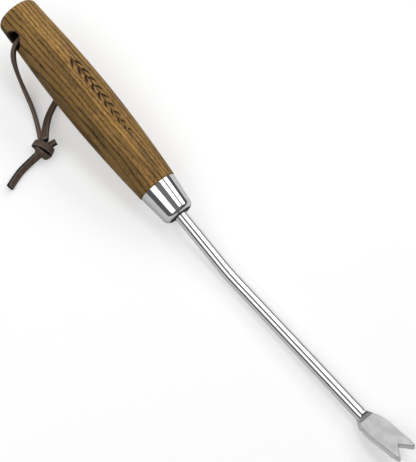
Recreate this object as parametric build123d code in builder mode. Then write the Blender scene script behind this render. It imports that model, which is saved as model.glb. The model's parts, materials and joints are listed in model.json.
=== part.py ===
"""Hand weeder: a turned ash handle, a deep-drawn steel ferrule, a forged fishtail fork and a leather thong.

Millimetres. The rigid pieces are drawn in the tool's own frame: X runs along the handle from its butt to the
fork, and Z points to the side that the shank and the blade bend to. They are then laid down as the tool rests
on a level surface, with the origin at the bottom centre of their box. The thong is routed on that surface.
"""

from build123d import *
from math import cos, radians, sin, tan
import os

os.makedirs("parts", exist_ok=True)

# ---------------------------------------------------------------- driving dimensions
# Handle
HANDLE_LENGTH = 128.5  # turned wood that shows, butt to ferrule
BUTT_RADIUS = 12.1
BELLY_RADIUS = 14.6
BELLY_X = 65.0
FRONT_RADIUS = 11.7
BUTT_ROUNDING = 4.0
THONG_HOLE_DIAMETER = 9.0
THONG_HOLE_X = 14.5
MOUTH_ROUNDING = 1.9
TENON_LENGTH = 17.5  # turned spigot inside the ferrule

# Ferrule
FERRULE_LENGTH = 20.6
FERRULE_BACK_RADIUS = 11.3
FERRULE_FRONT_RADIUS = 9.1  # where its taper would meet the front face
FERRULE_WALL = 1.0
FERRULE_SHOULDER = 3.3
FERRULE_LIP = 0.45  # rounding of its back edge
GLUE_GAP = 0.05

# Fork: tang, round shank with a bend, forged blade
SHANK_DIAMETER = 7.2
SHANK_CLEARANCE = 0.05  # in the ferrule's hole
TANG_LENGTH = 68.0  # from the ferrule's front face back into the handle
TANG_TAPER = (9.0, 1.6)  # length and depth of the taper at its inner end
BEND_X = 191.5
BEND_ANGLE = 8.3
BEND_RADIUS = 95.0
FORE_LENGTH = 108.0  # bend to blade
BLADE_ANGLE = 14.5  # the blade's bend from the fore shank
BLADE_THICKNESS = 3.0
BLADE_DRAFT = 13.0
BLADE_LENGTH = 32.8
BLADE_HALF_WIDTH = 7.75
BLADE_ROOT_X = 1.5  # where the blade's outline starts, inside the shoulder
ROOT_HALF_WIDTH = 5.4
TIP_HALF_WIDTH = 6.2
NOTCH_DEPTH = 7.9
FLARE_START = 3.6  # the shank starts to widen this far before the blade's origin
FLARE_END = (4.0, 6.85)
SLOPE_START = -1.9  # on the shank: where its top starts to fall
CREASE_X = 1.6  # on the blade: where that slope meets its flat face
UNDER_SLOPE_START = -3.2  # the same on the underside, where the slope is longer
UNDER_SLOPE_END = 5.5
UPPER_EDGE_ROUNDING = 0.45
UNDER_EDGE_ROUNDING = 0.35
TIP_ROUNDING = 1.3

# Adhesive round the tang
BORE_DIAMETER = 7.9
BORE_END_GAP = 2.5
ADHESIVE_GAP = 0.02  # to the wood and to the steel

# Thong: one leather lace, its ends tied together in an overhand knot
LACE_DIAMETER = 3.2
KNOT_PLACE = (-96.3, -33.2, 0.0)  # the middle of its underside
KNOT_SIZE = (13.4, 9.0, 8.8)
KNOT_ROUNDING = 3.6
KNOT_TURN = 10.0  # of the knot's long side from X, on the surface
NEAR_ROUTE = (
    (-149.5, 0.0, 26.0),  # in the middle of the cross hole
    (-148.7, -8.2, 27.9),
    (-146.3, -15.2, 24.8),
    (-141.1, -17.8, 14.2),
    (-131.1, -19.6, 4.4),
    (-120.5, -22.2, 2.3),
    (-110.3, -26.4, 2.3),
    (-100.7, -31.4, 3.2),  # in the knot
)
FAR_ROUTE = (
    (-149.5, 0.0, 26.0),
    (-150.3, 8.2, 24.1),
    (-149.5, 13.4, 19.2),
    (-146.7, 13.6, 11.2),
    (-138.9, 12.6, 4.2),
    (-126.9, 12.0, 2.6),
    (-118.9, 2.4, 2.6),
    (-115.5, -9.6, 2.6),
    (-108.3, -22.6, 2.9),
    (-98.4, -30.4, 6.3),
)
TAIL_ROUTE = (
    (-95.5, -29.2, 4.8),  # in the knot
    (-94.7, -36.6, 4.4),
    (-94.4, -44.6, 2.2),
    (-93.1, -53.7, 1.7),
    (-89.5, -62.0, 1.7),
)

# How the tool lies: its turn about its own axis, then its nose down towards the fork
LIE_ROLL = -13.5
LIE_PITCH = 7.37

# ---------------------------------------------------------------- values that follow from them
SHANK_RADIUS = SHANK_DIAMETER / 2
FERRULE_FRONT_X = HANDLE_LENGTH + FERRULE_LENGTH
FERRULE_INNER_FRONT_X = FERRULE_FRONT_X - FERRULE_WALL
FERRULE_SLOPE = (FERRULE_BACK_RADIUS - FERRULE_FRONT_RADIUS) / FERRULE_LENGTH
TENON_END_X = HANDLE_LENGTH + TENON_LENGTH
TANG_END_X = FERRULE_FRONT_X - TANG_LENGTH
BORE_END_X = TANG_END_X - BORE_END_GAP
SKIN = BLADE_THICKNESS / 2


def ferrule_radius(x):
    """The ferrule's outer radius on its taper, with x along the handle."""
    return FERRULE_BACK_RADIUS - FERRULE_SLOPE * (x - HANDLE_LENGTH)


def side_plane(origin, angle):
    """A side view plane: its local x rises at the angle from the tool's X, and its local y is up."""
    return Plane(origin, x_dir=(cos(radians(angle)), 0, sin(radians(angle))), z_dir=(0, -1, 0))


TENON_BACK_RADIUS = ferrule_radius(HANDLE_LENGTH) - FERRULE_WALL - GLUE_GAP
TENON_FRONT_RADIUS = ferrule_radius(TENON_END_X) - FERRULE_WALL - GLUE_GAP
FORE_DIRECTION = Vector(cos(radians(BEND_ANGLE)), 0, sin(radians(BEND_ANGLE)))
BLADE_ORIGIN = Vector(BEND_X, 0, 0) + FORE_DIRECTION * FORE_LENGTH
FORE_SIDE = side_plane(BLADE_ORIGIN, BEND_ANGLE)
BLADE_SIDE = side_plane(BLADE_ORIGIN, BEND_ANGLE + BLADE_ANGLE)
BLADE_FACE = Plane(BLADE_ORIGIN, x_dir=BLADE_SIDE.x_dir, z_dir=BLADE_SIDE.y_dir)

# ---------------------------------------------------------------- turned handle
with BuildPart() as wooden_handle:
    with BuildSketch(Plane.XZ) as handle_half:
        with BuildLine():
            end_face = Line((0, 0), (0, BUTT_RADIUS))
            barrel = Spline(
                end_face @ 1,
                (28, 13.55),
                (BELLY_X, BELLY_RADIUS),
                (98, 13.75),
                (HANDLE_LENGTH, FRONT_RADIUS),
                tangents=((1, 0.03), (1, -0.085)),
            )
            Polyline(
                barrel @ 1,
                (HANDLE_LENGTH, TENON_BACK_RADIUS),
                (TENON_END_X, TENON_FRONT_RADIUS),
                (TENON_END_X, 0),
                (0, 0),
            )
        make_face()
        fillet(handle_half.vertices().sort_by_distance((0, BUTT_RADIUS))[0], BUTT_ROUNDING)
    revolve(axis=Axis.X)
    # The thong's cross hole, with rounded mouths
    with BuildSketch(Plane.XZ):
        with Locations((THONG_HOLE_X, 0)):
            Circle(THONG_HOLE_DIAMETER / 2)
    extrude(amount=2 * BELLY_RADIUS, both=True, mode=Mode.SUBTRACT)
    mouths = (
        wooden_handle.edges(Select.LAST)
        .filter_by(GeomType.LINE, reverse=True)
        .filter_by(lambda edge: abs(edge.center().Y) > BUTT_RADIUS / 2)
    )
    fillet(mouths, MOUTH_ROUNDING)
    # The tang's bore
    with BuildSketch(Plane.YZ.offset(TENON_END_X)):
        Circle(BORE_DIAMETER / 2)
    extrude(amount=BORE_END_X - TENON_END_X, mode=Mode.SUBTRACT)

# ---------------------------------------------------------------- deep-drawn ferrule
with BuildPart() as ferrule:
    with BuildSketch(Plane.XZ) as cup_half:
        with BuildLine():
            Polyline(
                (FERRULE_FRONT_X, SHANK_RADIUS + SHANK_CLEARANCE),
                (FERRULE_FRONT_X, FERRULE_FRONT_RADIUS),
                (HANDLE_LENGTH, FERRULE_BACK_RADIUS),
                (HANDLE_LENGTH, FERRULE_BACK_RADIUS - FERRULE_WALL),
                (FERRULE_INNER_FRONT_X, ferrule_radius(FERRULE_INNER_FRONT_X) - FERRULE_WALL),
                (FERRULE_INNER_FRONT_X, SHANK_RADIUS + SHANK_CLEARANCE),
                close=True,
            )
        make_face()
        for corner, rounding in (
            ((FERRULE_FRONT_X, FERRULE_FRONT_RADIUS), FERRULE_SHOULDER),
            ((FERRULE_INNER_FRONT_X, FERRULE_FRONT_RADIUS), FERRULE_SHOULDER - FERRULE_WALL),
            ((HANDLE_LENGTH, FERRULE_BACK_RADIUS), FERRULE_LIP),
        ):
            fillet(cup_half.vertices().sort_by_distance(corner)[0], rounding)
    revolve(axis=Axis.X)

# ---------------------------------------------------------------- forged fork
with BuildPart() as blade:
    with BuildSketch(BLADE_FACE.offset(-SKIN)) as blade_outline:
        with BuildLine():
            outer_edge = Spline(
                (BLADE_ROOT_X, -ROOT_HALF_WIDTH),
                (5.2, -7.1),
                (14.5, -BLADE_HALF_WIDTH),
                (24.0, -7.5),
                (BLADE_LENGTH, -TIP_HALF_WIDTH),
                tangents=((1, -0.75), (1, 0.3)),
            )
            Polyline(outer_edge @ 1, (BLADE_LENGTH - NOTCH_DEPTH, 0), (BLADE_ROOT_X, 0), outer_edge @ 0)
        make_face()
        mirror(about=Plane.XZ)
        fillet(blade_outline.vertices().group_by(Axis.X)[-1], TIP_ROUNDING)
    extrude(amount=BLADE_THICKNESS, taper=BLADE_DRAFT)
    # Every edge of its two faces is worn round, apart from the one inside the shoulder
    for side, rounding in ((-1, UPPER_EDGE_ROUNDING), (0, UNDER_EDGE_ROUNDING)):
        face = blade.faces().sort_by(Axis(BLADE_ORIGIN, BLADE_FACE.z_dir))[side]
        fillet(face.edges().sort_by(Axis(BLADE_ORIGIN, BLADE_FACE.x_dir))[1:], rounding)

with BuildPart() as fork_shank:
    with BuildLine(Plane.XZ) as shank_line:
        Polyline((TANG_END_X, 0), (BEND_X, 0), (BLADE_ORIGIN.X, BLADE_ORIGIN.Z))
        fillet(shank_line.vertices().sort_by_distance((BEND_X, 0, 0))[0], BEND_RADIUS)
    with BuildSketch(Plane.YZ.offset(TANG_END_X)):
        Circle(SHANK_RADIUS)
    sweep(path=shank_line.line)
    chamfer(fork_shank.edges().sort_by(Axis.X)[0], TANG_TAPER[0], TANG_TAPER[1])
    # The shank widens towards the blade
    with BuildSketch(FORE_SIDE):
        with BuildLine():
            flare = Spline((-FLARE_START, SHANK_RADIUS), (0.4, 5.0), FLARE_END, tangents=((1, 0), (1, 0.4)))
            Polyline(flare @ 1, (FLARE_END[0], 0), (-FLARE_START, 0), flare @ 0)
        make_face()
    revolve(axis=Axis(BLADE_ORIGIN, FORE_DIRECTION))
    # and is hammered down to the blade's thickness, by a slope on each side
    for start_x, end_x, up in ((SLOPE_START, CREASE_X, 1), (UNDER_SLOPE_START, UNDER_SLOPE_END, -1)):
        slope_end = FORE_SIDE.to_local_coords(BLADE_SIDE.from_local_coords(Vector(end_x, up * SKIN)))
        beyond = FORE_SIDE.to_local_coords(BLADE_SIDE.from_local_coords(Vector(BLADE_HALF_WIDTH * 2, up * SKIN)))
        with BuildSketch(FORE_SIDE):
            with BuildLine():
                Polyline(
                    (-2 * FLARE_START, up * SHANK_RADIUS),
                    (start_x, up * SHANK_RADIUS),
                    (slope_end.X, slope_end.Y),
                    (beyond.X, beyond.Y),
                    (beyond.X, up * 2 * BLADE_HALF_WIDTH),
                    (-2 * FLARE_START, up * 2 * BLADE_HALF_WIDTH),
                    close=True,
                )
            make_face()
        extrude(amount=BLADE_HALF_WIDTH, both=True, mode=Mode.SUBTRACT)
    add(blade.part)

# ---------------------------------------------------------------- set adhesive that holds the tang
with BuildPart() as tang_adhesive:
    with BuildSketch(Plane.YZ.offset(BORE_END_X + ADHESIVE_GAP)):
        Circle(BORE_DIAMETER / 2 - ADHESIVE_GAP)
    extrude(amount=TENON_END_X - BORE_END_X - ADHESIVE_GAP)
    with BuildSketch(Plane.YZ.offset(TANG_END_X - ADHESIVE_GAP)):
        Circle(SHANK_RADIUS + ADHESIVE_GAP)
    extrude(amount=TENON_END_X - TANG_END_X + ADHESIVE_GAP, mode=Mode.SUBTRACT)

# ---------------------------------------------------------------- the rigid pieces, laid down
rigid = {
    "wooden_handle": wooden_handle.part,
    "ferrule": ferrule.part,
    "fork_shank": fork_shank.part,
    "tang_adhesive": tang_adhesive.part,
}
lie = Rot(Y=LIE_PITCH) * Rot(X=LIE_ROLL)
lying_box = Compound([lie * piece for piece in rigid.values()]).bounding_box()
lay_down = Pos(-lying_box.center().X, -lying_box.center().Y, -lying_box.min.Z) * lie
pieces = {name: lay_down * piece for name, piece in rigid.items()}


# ---------------------------------------------------------------- thong
def lace(name, route):
    """A round tube along the route: straight runs, and at each point an arc as large as its two runs allow."""
    points = [Vector(point) for point in route]
    runs = [end - start for start, end in zip(points, points[1:])]
    radii = [
        0.45 * min(run.length, after.length) / tan(radians(run.get_angle(after) / 2))
        for run, after in zip(runs, runs[1:])
    ]
    with BuildPart() as tube:
        with BuildLine() as line:
            FilletPolyline(*points, radius=radii)
        with BuildSketch(Plane(points[0], z_dir=runs[0])):
            Circle(LACE_DIAMETER / 2)
        sweep(path=line.line)
    length = sum(edge.length for edge in line.edges())
    filled = tube.part.volume / (Circle(LACE_DIAMETER / 2, mode=Mode.PRIVATE).area * length)
    print(f"{name}: length {length:.1f}, volume over section times length {filled:.4f}")
    print("  bend radii", [round(radius, 1) for radius in radii])
    return tube.part


with BuildPart() as thong_knot:  # the knot's outer shape, flat where it rests
    with BuildSketch(Plane(KNOT_PLACE).rotated((0, 0, KNOT_TURN))):
        Rectangle(KNOT_SIZE[0], KNOT_SIZE[1])
    extrude(amount=KNOT_SIZE[2])
    fillet(thong_knot.edges(), KNOT_ROUNDING)

pieces["thong_near_strand"] = lace("thong_near_strand", NEAR_ROUTE)
pieces["thong_far_strand"] = lace("thong_far_strand", FAR_ROUTE)
pieces["thong_tail"] = lace("thong_tail", TAIL_ROUTE)
pieces["thong_knot"] = thong_knot.part

# ---------------------------------------------------------------- one file for each piece
for name, piece in pieces.items():
    piece.label = name
    export_step(piece, f"parts/{name}.step")
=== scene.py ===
"""Hand weeder: its looks, its thong, a pale floor, soft studio light and the camera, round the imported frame.

Everything is in metres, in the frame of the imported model. Routes and lengths that are easier to read in
millimetres are multiplied by MM. The tool's own frame has its origin in the middle of the butt, and its X
runs along the handle.
"""

import json
import math

import bmesh
import bpy
from mathutils import Euler, Matrix, Vector
from mathutils.bvhtree import BVHTree


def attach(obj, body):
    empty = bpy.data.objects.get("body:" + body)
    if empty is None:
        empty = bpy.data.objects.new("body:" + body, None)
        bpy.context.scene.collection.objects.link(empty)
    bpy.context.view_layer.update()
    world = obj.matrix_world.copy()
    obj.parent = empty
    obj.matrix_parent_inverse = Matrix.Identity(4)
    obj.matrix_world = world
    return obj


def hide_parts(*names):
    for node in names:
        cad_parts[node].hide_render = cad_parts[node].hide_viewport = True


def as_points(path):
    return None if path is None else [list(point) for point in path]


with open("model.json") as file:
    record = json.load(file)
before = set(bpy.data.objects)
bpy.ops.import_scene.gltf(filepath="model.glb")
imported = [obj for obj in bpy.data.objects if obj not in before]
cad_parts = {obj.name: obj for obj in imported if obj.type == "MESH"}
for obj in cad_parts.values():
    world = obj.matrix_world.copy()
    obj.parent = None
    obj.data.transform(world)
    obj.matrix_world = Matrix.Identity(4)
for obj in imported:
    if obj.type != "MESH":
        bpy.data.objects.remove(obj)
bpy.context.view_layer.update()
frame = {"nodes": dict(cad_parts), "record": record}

MM = 0.001

# ---------------------------------------------------------------- the tool's own frame, from the record
BUTT = next(mount for mount in frame["record"]["mounts"] if mount["name"] == "butt_end")
TOOL_ORIGIN = Vector(BUTT["pos_m"])
TOOL_PITCH = math.asin(BUTT["axis"][2])
TOOL_ROLL = math.radians(-13.5)
TOOL_TURN = Euler((TOOL_ROLL, TOOL_PITCH, 0))
TOOL = Matrix.Translation(TOOL_ORIGIN) @ TOOL_TURN.to_matrix().to_4x4()


def vectors(*points):
    return [Vector(point) for point in points]


def mm(*points):
    """Points given in millimetres, as vectors in metres."""
    return [point * MM for point in vectors(*points)]


# ---------------------------------------------------------------- camera
CAMERA_AIM = Vector((-1.40, 8.31, 0.0)) * MM  # where the middle of the view meets the floor
CAMERA_DISTANCE = 0.9994
CAMERA_AZIMUTH = 43.34
CAMERA_ELEVATION = 68.63
CAMERA_ROLL = 7.43
CAMERA_LENS = 140.26  # in millimetres
CAMERA_SENSOR = 36.0  # along the longer side of the view


def make_camera():
    data = bpy.data.cameras.new("camera")
    data.sensor_width = CAMERA_SENSOR
    data.lens = CAMERA_LENS
    camera = bpy.data.objects.new("camera", data)
    turn = (
        Matrix.Rotation(math.radians(CAMERA_AZIMUTH), 4, "Z")
        @ Matrix.Rotation(math.radians(90 - CAMERA_ELEVATION), 4, "X")
        @ Matrix.Rotation(math.radians(CAMERA_ROLL), 4, "Z")
    )
    back = turn.to_3x3() @ Vector((0, 0, 1))
    camera.matrix_world = Matrix.Translation(CAMERA_AIM + back * CAMERA_DISTANCE) @ turn
    bpy.context.collection.objects.link(camera)
    bpy.context.scene.camera = camera


make_camera()


# ---------------------------------------------------------------- node trees
class Graph:
    """A material under construction. A value passed to these calls is a number, a tuple or another output."""

    def __init__(self, name):
        self.material = bpy.data.materials.new(name)
        self.material.use_nodes = True
        self.tree = self.material.node_tree
        self.shader = self.tree.nodes["Principled BSDF"]

    def put(self, socket, value):
        if isinstance(value, bpy.types.NodeSocket):
            self.tree.links.new(value, socket)
        elif socket.type == "RGBA" and len(value) == 3:
            socket.default_value = (*value, 1)
        else:
            socket.default_value = value

    def node(self, kind, inputs=(), **settings):
        node = self.tree.nodes.new(kind)
        for key, value in settings.items():
            setattr(node, key, value)
        for key, value in dict(inputs).items():
            self.put(node.inputs[key], value)
        return node

    def surface(self, **inputs):
        """Sets the shader's inputs, named with underscores for spaces."""
        for key, value in inputs.items():
            self.put(self.shader.inputs[key.replace("_", " ")], value)

    def place(self, location=(0, 0, 0), rotation=(0, 0, 0), scale=(1, 1, 1)):
        """The row frame's coordinates, seen from a frame at this place, turn and scale."""
        coordinates = self.node("ShaderNodeTexCoord").outputs["Object"]
        inputs = {"Vector": coordinates, "Location": location, "Rotation": rotation, "Scale": scale}
        return self.node("ShaderNodeMapping", inputs, vector_type="TEXTURE").outputs["Vector"]

    def tool_place(self):
        """Millimetres in the tool's own frame."""
        return self.place(TOOL_ORIGIN, TOOL_TURN, (MM, MM, MM))

    def stretch(self, vector, scale):
        inputs = {0: vector, 1: scale}
        return self.node("ShaderNodeVectorMath", inputs, operation="MULTIPLY").outputs[0]

    def shift(self, vector, by):
        return self.node("ShaderNodeVectorMath", {0: vector, 1: by}, operation="ADD").outputs[0]

    def split(self, vector):
        outputs = self.node("ShaderNodeSeparateXYZ", {"Vector": vector}).outputs
        return outputs["X"], outputs["Y"], outputs["Z"]

    def join(self, x, y, z):
        return self.node("ShaderNodeCombineXYZ", {"X": x, "Y": y, "Z": z}).outputs["Vector"]

    def math(self, operation, *values, clamp=False):
        inputs = dict(enumerate(values))
        return self.node("ShaderNodeMath", inputs, operation=operation, use_clamp=clamp).outputs[0]

    def noise(self, vector, scale=1.0, detail=2.0, roughness=0.5):
        inputs = {"Vector": vector, "Scale": scale, "Detail": detail, "Roughness": roughness}
        return self.node("ShaderNodeTexNoise", inputs).outputs["Fac"]

    def cells(self, vector, scale):
        inputs = {"Vector": vector, "Scale": scale}
        return self.node("ShaderNodeTexVoronoi", inputs).outputs["Distance"]

    def fit(self, value, low, high, to_low=0.0, to_high=1.0):
        """The value's range low to high, mapped smoothly to to_low to to_high and held there outside it."""
        inputs = {0: value, 1: low, 2: high, 3: to_low, 4: to_high}
        return self.node("ShaderNodeMapRange", inputs, interpolation_type="SMOOTHSTEP").outputs[0]

    def mix(self, share, first, second):
        node = self.node("ShaderNodeMix", data_type="RGBA")
        self.put(node.inputs[0], share)
        self.put(node.inputs[6], first)
        self.put(node.inputs[7], second)
        return node.outputs[2]

    def bump(self, height, distance, strength=1.0, normal=None):
        inputs = {"Height": height, "Distance": distance, "Strength": strength}
        if normal is not None:
            inputs["Normal"] = normal
        return self.node("ShaderNodeBump", inputs).outputs["Normal"]


# ---------------------------------------------------------------- materials
# Places and sizes in the materials are millimetres in the tool's own frame
PITH_Y = -56.0  # the tree's centre
PITH_Z = -2.0
RING_SPACING = 2.3
RING_RISE = 0.027  # how far the rings climb for each millimetre along the handle
# How far the rings wander, and how fast along and across the handle
RING_WANDERS = ((4.5, (0.010, 0.04, 0.04)), (1.3, (0.05, 0.2, 0.2)), (0.5, (0.3, 0.8, 0.8)))
DEEP_ASH = (0.29, 0.150, 0.036)
ASH = (0.53, 0.285, 0.074)
BUTT_ASH = (0.66, 0.37, 0.105)
PALE_FIBRE = (0.78, 0.46, 0.145)
LATE_WOOD = (0.19, 0.105, 0.030)
# Painted shade on the handle's near and far sides
PAINTED_SIDE_SHADE = (0.125, 0.078, 0.026)
SMOKE = (0.10, 0.065, 0.022)
PORES = (0.022, 0.010, 0.004)
# Painted shade inside the cross hole and its mouths
PAINTED_HOLE_SHADE = (0.008, 0.006, 0.004)
THONG_HOLE_X = 14.5
HOLE_SHADE_RADII = (5.2, 6.7)  # from the cross hole's axis: where its painted shade starts to fade, and ends


def stained_ash():
    """Ring-porous ash with a brown stain: rows of dark pores between smoother bands, along the handle."""
    g = Graph("stained_ash")
    place = g.tool_place()
    x, y, z = g.split(place)
    across = g.math("SUBTRACT", y, PITH_Y)
    up = g.math("SUBTRACT", z, PITH_Z)
    radius = g.math("SQRT", g.math("ADD", g.math("MULTIPLY", across, across), g.math("MULTIPLY", up, up)))
    radius = g.math("SUBTRACT", radius, g.math("MULTIPLY", x, RING_RISE))
    for reach, pace in RING_WANDERS:
        wander = g.math("SUBTRACT", g.noise(g.stretch(place, pace), 1, 2), 0.5)
        radius = g.math("MULTIPLY_ADD", wander, reach, radius)
    rings = g.math("DIVIDE", radius, RING_SPACING)
    ring = g.math("FRACT", rings)
    year = g.math("FLOOR", rings)
    row = g.math("MULTIPLY", g.fit(ring, 0.0, 0.12), g.fit(ring, 0.16, 0.48, 1.0, 0.0))
    # Some years' rows are darker, and each row fades and returns along the handle
    years = g.join(g.math("MULTIPLY", x, 0.035), g.math("MULTIPLY", year, 3.7), 0.0)
    row = g.math("MULTIPLY", row, g.fit(g.noise(years, 1, 1), 0.28, 0.55, 0.6, 1.0))
    dashes = g.fit(g.noise(g.stretch(place, (0.28, 2.4, 2.4)), 1, 3, 0.65), 0.36, 0.58)
    dark = g.math("MULTIPLY", row, g.math("MULTIPLY_ADD", dashes, 0.65, 0.35), clamp=True)
    stray = g.fit(g.noise(g.stretch(g.shift(place, (9, 5, 2)), (0.25, 2.2, 2.2)), 1, 3, 0.65), 0.55, 0.68)
    dark = g.math("MAXIMUM", dark, g.math("MULTIPLY", stray, 0.62))
    fibres = g.noise(g.stretch(place, (0.45, 2.3, 2.3)), 1, 3, 0.7)
    tone = g.noise(g.stretch(place, (0.018, 0.12, 0.12)), 1, 3, 0.55)
    ground = g.mix(g.fit(tone, 0.36, 0.64), DEEP_ASH, ASH)
    ground = g.mix(g.fit(fibres, 0.44, 0.62, 0.0, 0.65), ground, PALE_FIBRE)
    # Paler towards the butt; painted shade makes it darker on the near, lower side and a little on the far
    # side
    ground = g.mix(g.fit(x, 0.0, 75.0, 0.30, 0.0), ground, BUTT_ASH)
    side = g.math("MULTIPLY_ADD", z, 0.45, y)
    ground = g.mix(g.fit(side, -9.0, 2.0, 0.57, 0.0), ground, PAINTED_SIDE_SHADE)
    ground = g.mix(g.fit(side, 2.0, 11.0, 0.0, 0.24), ground, PAINTED_SIDE_SHADE)
    ground = g.mix(g.fit(ring, 0.45, 1.0, 0.0, 0.22), ground, LATE_WOOD)
    smoke = g.noise(g.stretch(g.shift(place, (40, 7, 3)), (0.014, 0.16, 0.16)), 1, 2)
    ground = g.mix(g.fit(smoke, 0.52, 0.68, 0.0, 0.6), ground, SMOKE)
    colour = g.mix(dark, ground, PORES)
    # Painted shade: the cross hole and its rounded mouths are painted dark, where shade and the lace's shadow
    # fall
    along = g.math("SUBTRACT", x, THONG_HOLE_X)
    off_hole = g.math("SQRT", g.math("ADD", g.math("MULTIPLY", along, along), g.math("MULTIPLY", z, z)))
    colour = g.mix(g.fit(off_hole, *HOLE_SHADE_RADII, 1.0, 0.0), colour, PAINTED_HOLE_SHADE)
    height = g.math("SUBTRACT", g.math("MULTIPLY", fibres, 0.25), dark)
    g.surface(
        Base_Color=colour,
        Roughness=g.math("MULTIPLY_ADD", dark, 0.2, 0.55),
        Specular_IOR_Level=0.22,
        Normal=g.bump(height, 0.10 * MM),
    )
    return g.material


DARK_CHAR = (0.030, 0.017, 0.010)
BROWN_CHAR = (0.085, 0.048, 0.026)


def burnt_wood():
    """The branded mark: uneven dark brown char, matt and a little rough."""
    g = Graph("burnt_wood")
    place = g.tool_place()
    char = g.noise(g.stretch(place, (0.7, 2.6, 2.6)), 1, 4, 0.65)
    g.surface(
        Base_Color=g.mix(g.fit(char, 0.4, 0.68), DARK_CHAR, BROWN_CHAR),
        Roughness=g.fit(char, 0.3, 0.7, 0.75, 0.9),
        Specular_IOR_Level=0.15,
        Normal=g.bump(char, 0.08 * MM),
    )
    return g.material


FERRULE_FRONT_X = 149.1
FRONT_FACE_BAND = (0.40, 0.12)  # how far behind the front its painted dark reflection starts, and where it is complete
STEEL = (0.86, 0.865, 0.87)
# Painted dark reflection on the ferrule's front face
PAINTED_DARK_REFLECTION = (0.010, 0.010, 0.011)


def polished_steel():
    """Spun and polished: fine marks run round the ferrule, and its front face is painted black and matt, a
    painted dark reflection.
    """
    g = Graph("polished_steel")
    place = g.tool_place()
    x = g.split(place)[0]
    marks = g.noise(g.stretch(place, (7.0, 0.12, 0.12)), 1, 3, 0.6)
    wear = g.noise(place, 0.35, 3, 0.6)
    # The front face: painted black and matt, standing in for the dark reflection it shows
    face = g.fit(x, FERRULE_FRONT_X - FRONT_FACE_BAND[0], FERRULE_FRONT_X - FRONT_FACE_BAND[1])
    g.surface(
        Base_Color=g.mix(face, STEEL, PAINTED_DARK_REFLECTION),
        Metallic=g.math("SUBTRACT", 1.0, face),
        Roughness=g.math("ADD", g.fit(wear, 0.4, 0.7, 0.05, 0.10), g.math("MULTIPLY", face, 0.6)),
        Normal=g.bump(marks, 0.0012 * MM),
    )
    return g.material


SATIN_X = (296.6, 298.2)  # where the polished shank turns into the satin forging
BLADE_PLACE_X = 298.37  # of a point in the blade's middle plane
BLADE_PLACE_Z = 15.59
BLADE_TILT = math.radians(22.8)
HALF_BLADE = 1.5  # half the blade's thickness
SIDE_FADE = (0.40, 0.05)  # how far inside the blade's faces its sides' finish and painted reflection start to fade, and end
SLOPE_FADE = (0.05, 0.25)  # how far above the upper face the slope's finish starts, and is complete
POLISHED_SHANK = (0.87, 0.875, 0.88)
SATIN_DARK = (0.38, 0.38, 0.378)
SATIN_LIGHT = (0.46, 0.46, 0.458)
# The blade's sides: a smoother ground finish, and paler partly as a painted reflection
GROUND_SIDE_AND_REFLECTION = (0.82, 0.82, 0.82)
DULL_SLOPE = (0.52, 0.52, 0.517)


def forged_steel():
    """Polished on the round shank, satin on the shoulder and blade, with ground sides and a duller slope."""
    g = Graph("forged_steel")
    place = g.tool_place()
    x, _, z = g.split(place)
    satin = g.fit(x, *SATIN_X)
    # How far a point lies above the blade's middle plane
    rise = g.math("MULTIPLY", g.math("SUBTRACT", z, BLADE_PLACE_Z), math.cos(BLADE_TILT))
    fall = g.math("MULTIPLY", g.math("SUBTRACT", x, BLADE_PLACE_X), math.sin(BLADE_TILT))
    height = g.math("SUBTRACT", rise, fall)
    off_middle = g.math("ABSOLUTE", height)
    side = g.fit(off_middle, HALF_BLADE - SIDE_FADE[0], HALF_BLADE - SIDE_FADE[1], 1.0, 0.0)
    side = g.math("MULTIPLY", side, satin)
    slope = g.fit(height, HALF_BLADE + SLOPE_FADE[0], HALF_BLADE + SLOPE_FADE[1])
    slope = g.math("MULTIPLY", slope, satin)
    cloud = g.noise(place, 0.16, 3, 0.6)
    satin_colour = g.mix(g.fit(cloud, 0.35, 0.7), SATIN_DARK, SATIN_LIGHT)
    # Paler sides: ground finish, and partly a painted reflection of the bright floor they face
    satin_colour = g.mix(side, satin_colour, GROUND_SIDE_AND_REFLECTION)
    satin_colour = g.mix(slope, satin_colour, DULL_SLOPE)
    scuffs = g.noise(g.stretch(place, (0.9, 1.4, 1.4)), 1, 4, 0.65)
    rough = g.math("MULTIPLY_ADD", satin, g.fit(scuffs, 0.35, 0.7, 0.30, 0.42), 0.09)
    rough = g.math("SUBTRACT", rough, g.math("MULTIPLY", side, 0.18))
    drawn = g.bump(g.noise(g.stretch(place, (0.05, 2.4, 2.4)), 1, 3, 0.6), 0.002 * MM)
    blasted = g.bump(g.noise(place, 3.5, 4, 0.7), 0.010 * MM, g.math("MULTIPLY", satin, 0.8), drawn)
    g.surface(
        Base_Color=g.mix(satin, POLISHED_SHANK, satin_colour),
        Metallic=g.math("MULTIPLY_ADD", slope, -0.6, 1.0),
        Roughness=rough,
        Normal=blasted,
    )
    return g.material


def set_adhesive():
    """Amber resin with bubbles, out of sight in the handle's bore."""
    g = Graph("set_adhesive")
    bubbles = g.cells(g.tool_place(), 1.4)
    g.surface(
        Base_Color=g.mix(g.fit(bubbles, 0.1, 0.5), (0.42, 0.31, 0.12), (0.62, 0.50, 0.26)),
        Roughness=0.25,
        Normal=g.bump(bubbles, 0.05 * MM),
    )
    return g.material


DARK_LEATHER = (0.050, 0.030, 0.020)
BROWN_LEATHER = (0.150, 0.098, 0.068)
LEATHER_FIBRE = (0.17, 0.12, 0.092)
EDGE_DYE = (0.007, 0.005, 0.004)
# Painted highlight along the lace's corners
PAINTED_CORNER_HIGHLIGHT = (0.32, 0.23, 0.17)


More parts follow.
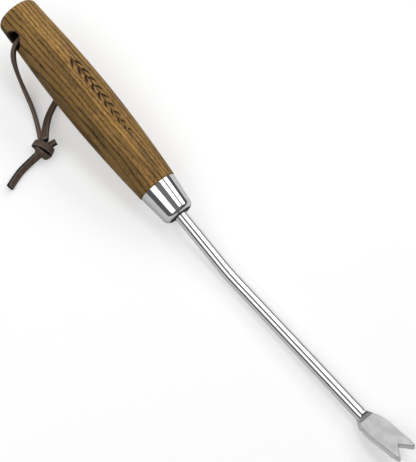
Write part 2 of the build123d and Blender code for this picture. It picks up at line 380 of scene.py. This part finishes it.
def dark_leather():
    """Waxed lace: brown grained faces, blackened cut edges, and a pale painted highlight along each corner.

    The mesh's attribute "edge" runs from 0 on a broad face to 1 on a fully dyed cut edge.
    """
    g = Graph("dark_leather")
    place = g.place(scale=(MM, MM, MM))
    grain = g.cells(place, 2.2)
    creases = g.noise(place, 1.3, 4, 0.65)
    fibres = g.noise(place, 5.0, 3, 0.7)
    edge = g.node("ShaderNodeAttribute", attribute_name="edge").outputs["Fac"]
    face = g.mix(g.fit(creases, 0.35, 0.65), DARK_LEATHER, BROWN_LEATHER)
    face = g.mix(g.fit(fibres, 0.45, 0.7, 0.0, 0.5), face, LEATHER_FIBRE)
    # A pale line along each corner: painted highlight
    corner = g.math("MULTIPLY", g.fit(edge, 0.08, 0.30), g.fit(edge, 0.42, 0.70, 1.0, 0.0))
    colour = g.mix(g.fit(edge, 0.35, 0.80), face, EDGE_DYE)
    colour = g.mix(g.math("MULTIPLY", corner, 0.85), colour, PAINTED_CORNER_HIGHLIGHT)
    height = g.math("ADD", g.math("MULTIPLY", grain, 0.6), g.math("MULTIPLY", creases, 0.8))
    g.surface(
        Base_Color=colour,
        Roughness=g.fit(creases, 0.3, 0.7, 0.5, 0.68),
        Normal=g.bump(height, 0.10 * MM),
    )
    return g.material


FLOOR_GLOW = 0.42  # what only the camera sees, so that the floor is nearly white there


def floor_white():
    g = Graph("floor_white")
    tone = g.noise(g.place(), 3.0, 2)
    seen = g.node("ShaderNodeLightPath").outputs["Is Camera Ray"]
    g.surface(
        Base_Color=g.mix(tone, (0.72, 0.72, 0.72), (0.74, 0.74, 0.74)),
        Roughness=0.7,
        Specular_IOR_Level=0.2,
        Emission_Color=(1.0, 1.0, 1.0),
        Emission_Strength=g.math("MULTIPLY", seen, FLOOR_GLOW),
    )
    return g.material


MATERIALS = {
    make.__name__: make()
    for make in (stained_ash, burnt_wood, polished_steel, forged_steel, set_adhesive, dark_leather)
}


def finish_mesh(bm, name):
    """Turns the faces outwards, and hands them over as a new mesh."""
    bmesh.ops.recalc_face_normals(bm, faces=bm.faces)
    mesh = bpy.data.meshes.new(name)
    bm.to_mesh(mesh)
    bm.free()
    return mesh


def link_piece(name, mesh, material):
    """Links a new smooth piece that rides on the tool. Its material and its slot have the same name."""
    mesh.materials.append(MATERIALS[material])
    for polygon in mesh.polygons:
        polygon.use_smooth = True
    piece = bpy.data.objects.new(name, mesh)
    bpy.context.collection.objects.link(piece)
    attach(piece, "root")
    return piece


for name, material in (
    ("wooden_handle", "stained_ash"),
    ("ferrule", "polished_steel"),
    ("fork_shank", "forged_steel"),
    ("tang_adhesive", "set_adhesive"),
):
    for material_slot in frame["nodes"][name].material_slots:
        material_slot.material = MATERIALS[material]

# ---------------------------------------------------------------- a sprig of leaves, branded into the handle
SPRIG_START_X = 43.0  # along the handle
SPRIG_LENGTH = 56.0
SPRIG_SIDE = 5.0  # degrees round the handle from its top, towards the far side
SPRIG_PAIRS = 9
FIRST_PAIR = 2.5  # from the sprig's start
LAST_PAIR = 5.0  # from its end
PAIR_STAGGER = 0.9  # one leaf of a pair starts this far ahead of its place, the other this far behind
LEAF_LENGTH = 5.8
LEAF_HALF_WIDTH = 0.8
LEAF_TIP_HALF_WIDTH = 0.05
LEAF_ANGLE = 42.0  # degrees from the stem
LEAF_STEPS = 10
LAST_LEAF_SIZE = 0.55  # against the first
STEM_HALF_WIDTH = 0.28
STEM_TAPER = 0.6  # the share of its width that it loses
STEM_STEPS = 40
STEM_WAVE = 0.55
STROKE_SIDES = (-1, -0.5, 0, 0.5, 1)  # across a stroke, in shares of its half width
SPRIG_PROUD = 0.07
SPRIG_DEPTH = 0.35
SPRIG_RADIUS = 14.4  # the handle's, near enough to lay out the sprig
CLEAR_RADIUS = 30.0  # outside the handle


def add_wall(bm, rings):
    """Adds the faces between each closed ring of vertices and the next one."""
    for ring, following in zip(rings, rings[1:]):
        for side in range(len(ring)):
            other = (side + 1) % len(ring)
            bm.faces.new((ring[side], ring[other], following[other], following[side]))


def handle_surface():
    """The handle's mesh, ready to be hit by rays."""
    mesh = frame["nodes"]["wooden_handle"].data
    return BVHTree.FromPolygons(
        [vertex.co for vertex in mesh.vertices], [polygon.vertices for polygon in mesh.polygons]
    )


def on_handle(surface, along, round_it, lift):
    """A point of the handle's surface, given in millimetres along it and round it, and lifted outwards."""
    angle = math.radians(SPRIG_SIDE) + round_it / SPRIG_RADIUS
    outward = Vector((0, math.sin(angle), math.cos(angle)))
    axis_point = Vector((along, 0, 0))
    start = TOOL @ ((axis_point + outward * CLEAR_RADIUS) * MM)
    direction = (TOOL.to_3x3() @ -outward).normalized()
    hit = surface.ray_cast(start, direction)[0]
    return hit - direction * (lift * MM)


def add_stroke(bm, surface, points, half_widths):
    """Adds one burnt stroke: a thin closed skin that follows the handle, through (along, round it) points."""
    rings = []
    for index, ((along, round_it), half_width) in enumerate(zip(points, half_widths)):
        before = points[max(index - 1, 0)]
        after = points[min(index + 1, len(points) - 1)]
        heading = math.atan2(after[1] - before[1], after[0] - before[0])
        ring = []
        for lift, sides in ((SPRIG_PROUD, STROKE_SIDES), (-SPRIG_DEPTH, reversed(STROKE_SIDES))):
            for side in sides:
                step = side * half_width
                place = (along - math.sin(heading) * step, round_it + math.cos(heading) * step)
                ring.append(bm.verts.new(on_handle(surface, *place, lift)))
        rings.append(ring)
    add_wall(bm, rings)
    for ring in (rings[0], rings[-1]):
        for column in range(len(STROKE_SIDES) - 1):
            bm.faces.new((ring[column], ring[column + 1], ring[-2 - column], ring[-1 - column]))


def stem_side(along):
    """How far round the handle the stem runs: a slow wave."""
    return STEM_WAVE * math.sin(2 * math.pi * (along - SPRIG_START_X) / SPRIG_LENGTH)


def add_stem(bm, surface):
    shares = [step / STEM_STEPS for step in range(STEM_STEPS + 1)]
    stations = [SPRIG_START_X + SPRIG_LENGTH * share for share in shares]
    points = [(along, stem_side(along)) for along in stations]
    half_widths = [STEM_HALF_WIDTH * (1 - STEM_TAPER * share) for share in shares]
    add_stroke(bm, surface, points, half_widths)


def add_leaf(bm, surface, start, side, size):
    """Adds a leaf that starts at this place on the stem and curves away to one side of it."""
    points = []
    half_widths = []
    for step in range(LEAF_STEPS + 1):
        share = step / LEAF_STEPS
        bend = math.radians(LEAF_ANGLE * (1.15 - 0.5 * share))
        reach = LEAF_LENGTH * size * share
        points.append((start + reach * math.cos(bend), stem_side(start) + side * reach * math.sin(bend)))
        swell = math.sin(math.pi * share ** 0.8)
        half_widths.append(LEAF_HALF_WIDTH * size * swell + LEAF_TIP_HALF_WIDTH)
    add_stroke(bm, surface, points, half_widths)


def sprig_piece():
    bm = bmesh.new()
    surface = handle_surface()
    add_stem(bm, surface)
    for pair in range(SPRIG_PAIRS):
        share = pair / (SPRIG_PAIRS - 1)
        root = SPRIG_START_X + FIRST_PAIR + (SPRIG_LENGTH - FIRST_PAIR - LAST_PAIR) * share
        size = 1 - (1 - LAST_LEAF_SIZE) * share ** 2
        for side in (-1, 1):
            add_leaf(bm, surface, root + PAIR_STAGGER * side, side, size)
    return link_piece("leaf_sprig", finish_mesh(bm, "leaf_sprig"), "burnt_wood")


# ---------------------------------------------------------------- thong: one flat lace
LACE_WIDTH = 4.6 * MM
LACE_THICKNESS = 2.4 * MM
PAINTED_LIGHT_EDGE_BLACKNESS = 0.6  # how much black the cut edges of the loop's strands have, less than the tail's: painted light, where more light falls on them
SECTION_POINTS = 24
SECTION_SQUARENESS = 4.5  # exponent of the section's superellipse
CUT_EDGE = (0.86, 0.98)  # shares of the half width between which the broad face turns into the cut edge
LINE_STEPS = 14  # between two points of a route


def smooth_line(route):
    """Points along a NURBS spline that has the route's points as its control points."""
    curve = bpy.data.curves.new("line", "CURVE")
    curve.dimensions = "3D"
    curve.resolution_u = LINE_STEPS
    spline = curve.splines.new("NURBS")
    spline.points.add(len(route) - 1)
    for target, point in zip(spline.points, route):
        target.co = (*point, 1)
    spline.order_u = 3
    spline.use_endpoint_u = True
    holder = bpy.data.objects.new("line", curve)
    mesh = bpy.data.meshes.new_from_object(holder)
    line = [vertex.co.copy() for vertex in mesh.vertices]
    bpy.data.objects.remove(holder)
    bpy.data.curves.remove(curve)
    bpy.data.meshes.remove(mesh)
    return line


def section(width, thickness):
    """The lace's cross section: (across, out, how far it is a cut edge) round a rounded rectangle."""
    points = []
    power = 2 / SECTION_SQUARENESS
    for step in range(SECTION_POINTS):
        angle = 2 * math.pi * (step + 0.5) / SECTION_POINTS
        across = math.cos(angle)
        out = math.sin(angle)
        x = math.copysign(abs(across) ** power, across)
        y = math.copysign(abs(out) ** power, out)
        edge = min(1.0, max(0.0, (abs(x) - CUT_EDGE[0]) / (CUT_EDGE[1] - CUT_EDGE[0])))
        points.append((x * width / 2, y * thickness / 2, edge))
    return points


def add_lace(bm, line, facings, width=LACE_WIDTH, thickness=LACE_THICKNESS, edge_blackness=1.0):
    """Adds a closed flat lace along the line. Its broad face looks along facings, spread evenly over it.

    Edge blackness is how black its cut edges are, from 0 to 1; below 1 they are painted lighter, as painted
    light. Its two ends are always black.
    """
    edge_layer = bm.verts.layers.float.get("edge") or bm.verts.layers.float.new("edge")
    rings = []
    last = len(line) - 1
    for index, centre in enumerate(line):
        along = (line[min(index + 1, last)] - line[max(index - 1, 0)]).normalized()
        place = index / last * (len(facings) - 1)
        before = min(int(place), len(facings) - 2)
        out = facings[before].lerp(facings[before + 1], place - before)
        out = (out - along * out.dot(along)).normalized()
        across = along.cross(out)
        ring = []
        for x, y, edge in section(width, thickness):
            vertex = bm.verts.new(centre + across * x + out * y)
            vertex[edge_layer] = edge * edge_blackness
            ring.append(vertex)
        rings.append(ring)
    add_wall(bm, rings)
    bm.faces.new(reversed(rings[0]))
    bm.faces.new(rings[-1])
    for vertex in rings[0] + rings[-1]:
        vertex[edge_layer] = 1.0


def lace_piece(name, line, facings, edge_blackness=1.0):
    bm = bmesh.new()
    add_lace(bm, line, facings, edge_blackness=edge_blackness)
    return link_piece(name, finish_mesh(bm, name), "dark_leather")


NEAR_ROUTE = mm(
    (-149.5, 0.0, 26.0),
    (-148.7, -8.2, 27.9),
    (-146.3, -15.2, 24.8),
    (-141.1, -17.8, 14.2),
    (-131.1, -19.6, 4.4),
    (-120.5, -22.2, 2.3),
    (-110.3, -26.4, 2.3),
    (-100.7, -31.4, 3.2),
)
NEAR_FACINGS = vectors(
    (-1.0, 0.0, 0.2),
    (-1.0, -0.1, 0.1),
    (-1.0, -0.6, 0.0),
    (-0.6, -1.0, 0.0),
    (-0.4, -1.0, 0.05),
    (-0.4, -1.0, 0.05),
    (-0.5, -1.0, 0.1),
    (-0.5, -1.0, 0.25),
)
FAR_ROUTE = mm(
    (-149.5, 0.0, 26.0),
    (-150.3, 8.2, 24.1),
    (-149.5, 13.4, 19.2),
    (-146.7, 13.6, 11.2),
    (-138.9, 12.6, 4.2),
    (-126.9, 12.0, 2.6),
    (-118.9, 2.4, 2.6),
    (-115.5, -9.6, 2.6),
    (-108.3, -22.6, 2.9),
    (-98.4, -30.4, 6.3),
)
FAR_FACINGS = vectors(
    (-0.5, 0.0, 1.0),
    (-0.4, 0.5, 1.0),
    (-0.4, 1.0, 0.3),
    (-0.4, 1.0, -0.1),
    (-0.2, 1.0, 0.1),
    (0.3, 1.0, 0.4),
    (-1.0, 0.3, 0.9),
    (-1.0, -0.1, 0.9),
    (-0.8, -0.5, 0.9),
    (-0.5, -0.4, 1.0),
)
TAIL_ROUTE = mm(
    (-95.5, -29.2, 4.8),
    (-94.7, -36.6, 4.6),
    (-94.4, -44.6, 3.0),
    (-93.1, -53.7, 2.6),
    (-89.5, -62.0, 2.5),
)
TAIL_FACINGS = vectors((0.6, -0.2, 0.9), (1.1, -0.1, 0.7), (1.0, 0.0, 0.7))

sprig_piece()

near_line = smooth_line(NEAR_ROUTE)
far_line = smooth_line(FAR_ROUTE)
tail_line = smooth_line(TAIL_ROUTE)
# The strands' cut edges are painted lighter than the tail's: painted light
near_strand = lace_piece("near_strand", near_line, NEAR_FACINGS, PAINTED_LIGHT_EDGE_BLACKNESS)
far_strand = lace_piece("far_strand", far_line, FAR_FACINGS, PAINTED_LIGHT_EDGE_BLACKNESS)
tail = lace_piece("tail", tail_line, TAIL_FACINGS)

# The knot: the same lace, pulled tight round itself, with its short end
KNOT_CENTRE = Vector((-96.1, -33.6, 4.2)) * MM
KNOT_CORE = Vector((4.6, 3.4, 3.2)) * MM  # half its length, width and height
KNOT_LACE_WIDTH = 4.3 * MM
KNOT_LACE_THICKNESS = 2.1 * MM
KNOT_BANDS = (
    mm(
        (-99.1, -34.2, 1.6),
        (-101.7, -35.6, 3.2),
        (-100.7, -35.0, 7.0),
        (-96.9, -33.2, 8.1),
        (-93.1, -31.7, 7.5),
        (-90.7, -30.6, 4.6),
        (-92.5, -31.4, 1.8),
    ),
    mm(
        (-98.9, -35.4, 3.0),
        (-98.7, -36.4, 4.6),
        (-95.7, -36.6, 6.6),
        (-92.5, -36.2, 6.4),
        (-90.5, -35.0, 4.6),
        (-91.1, -33.6, 2.0),
    ),
)
STUB_ROUTE = mm((-95.9, -32.6, 4.2), (-95.1, -30.2, 5.4), (-94.2, -25.6, 6.2))
STUB_FACINGS = vectors((-0.6, 0.1, 1.0), (-0.75, 0.1, 1.0))


def knot_piece():
    bm = bmesh.new()
    for route in KNOT_BANDS:
        line = smooth_line(route)
        facings = [(point - KNOT_CENTRE).normalized() for point in line]
        add_lace(bm, line, facings, KNOT_LACE_WIDTH, KNOT_LACE_THICKNESS)
    add_lace(bm, smooth_line(STUB_ROUTE), STUB_FACINGS)
    core = bmesh.ops.create_icosphere(bm, subdivisions=3, radius=1.0)
    for vertex in core["verts"]:
        vertex.co = KNOT_CENTRE + Vector(share * half for share, half in zip(vertex.co, KNOT_CORE))
    return link_piece("knot", finish_mesh(bm, "knot"), "dark_leather")


knot = knot_piece()
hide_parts("thong_near_strand")
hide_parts("thong_far_strand")
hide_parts("thong_tail")
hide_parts("thong_knot")


def line_length(line):
    return sum((end - start).length for start, end in zip(line, line[1:]))


# A strand's exit is the mouth of the cross hole that it comes out of. The tail's is where it leaves the knot.
for strand, line, leaves, far_end in (
    (near_strand, near_line, (-0.1489, -0.0121, 0.0291), "knot"),
    (far_strand, far_line, (-0.1496, 0.0121, 0.0234), "knot"),
    (tail, tail_line, (-0.0947, -0.037, 0.0045), "bare"),
):
    line_length(line)
    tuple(leaves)
    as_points(line)

# ---------------------------------------------------------------- floor and light
FLOOR_HALF = 3.0


def make_floor():
    bm = bmesh.new()
    bmesh.ops.create_grid(bm, x_segments=2, y_segments=2, size=FLOOR_HALF)
    mesh = finish_mesh(bm, "floor")
    mesh.materials.append(floor_white())
    floor = bpy.data.objects.new("floor", mesh)
    bpy.context.collection.objects.link(floor)


SOFTBOX_DISTANCE = 1.0
SOFTBOXES = {
    # name: (lowest and highest angle in degrees, from straight up towards +Y, ends along X, brightness)
    "near_softbox": (-57, -22, (-1.5, 0.7), 1.3),
    "far_high_softbox": (12, 31.5, (-1.5, 0.35), 2.2),
    "far_low_softbox": (42, 64, (-1.5, 0.35), 2.4),
}


def make_softbox(name, low, high, ends, brightness):
    data = bpy.data.lights.new(name, "AREA")
    data.shape = "RECTANGLE"
    data.size = ends[1] - ends[0]
    data.size_y = 2 * SOFTBOX_DISTANCE * math.tan(math.radians(high - low) / 2)
    data.energy = brightness * math.pi * data.size * data.size_y
    angle = math.radians(low + high) / 2
    light = bpy.data.objects.new(name, data)
    outward = Vector((0, math.sin(angle), math.cos(angle)))
    light.location = outward * SOFTBOX_DISTANCE + Vector(((ends[0] + ends[1]) / 2, 0, 0))
    light.rotation_euler = (-angle, 0, 0)
    light.visible_camera = False
    bpy.context.collection.objects.link(light)


WALL_TOP = 30.0  # degrees above the horizon
CEILING_START = 45.0
WALL_BRIGHTNESS = 0.10
CEILING_BRIGHTNESS = 0.17
SEEN_BRIGHTNESS = 0.95


def make_world():
    """A grey ceiling over a dark low wall, where the camera itself sees nearly white."""
    world = bpy.data.worlds.new("studio")
    bpy.context.scene.world = world
    world.use_nodes = True
    tree = world.node_tree
    background = tree.nodes["Background"]
    direction = tree.nodes.new("ShaderNodeTexCoord")
    parts = tree.nodes.new("ShaderNodeSeparateXYZ")
    height = tree.nodes.new("ShaderNodeMapRange")
    seen = tree.nodes.new("ShaderNodeLightPath")
    mix = tree.nodes.new("ShaderNodeMix")
    height.inputs["From Min"].default_value = math.sin(math.radians(WALL_TOP))
    height.inputs["From Max"].default_value = math.sin(math.radians(CEILING_START))
    height.inputs["To Min"].default_value = WALL_BRIGHTNESS
    height.inputs["To Max"].default_value = CEILING_BRIGHTNESS
    mix.data_type = "FLOAT"
    mix.inputs[3].default_value = SEEN_BRIGHTNESS
    tree.links.new(direction.outputs["Generated"], parts.inputs["Vector"])
    tree.links.new(parts.outputs["Z"], height.inputs["Value"])
    tree.links.new(seen.outputs["Is Camera Ray"], mix.inputs[0])
    tree.links.new(height.outputs["Result"], mix.inputs[2])
    tree.links.new(mix.outputs[0], background.inputs["Color"])


make_floor()
for name, (low, high, ends, brightness) in SOFTBOXES.items():
    make_softbox(name, low, high, ends, brightness)
make_world()
bpy.context.scene.view_settings.view_transform = "Standard"
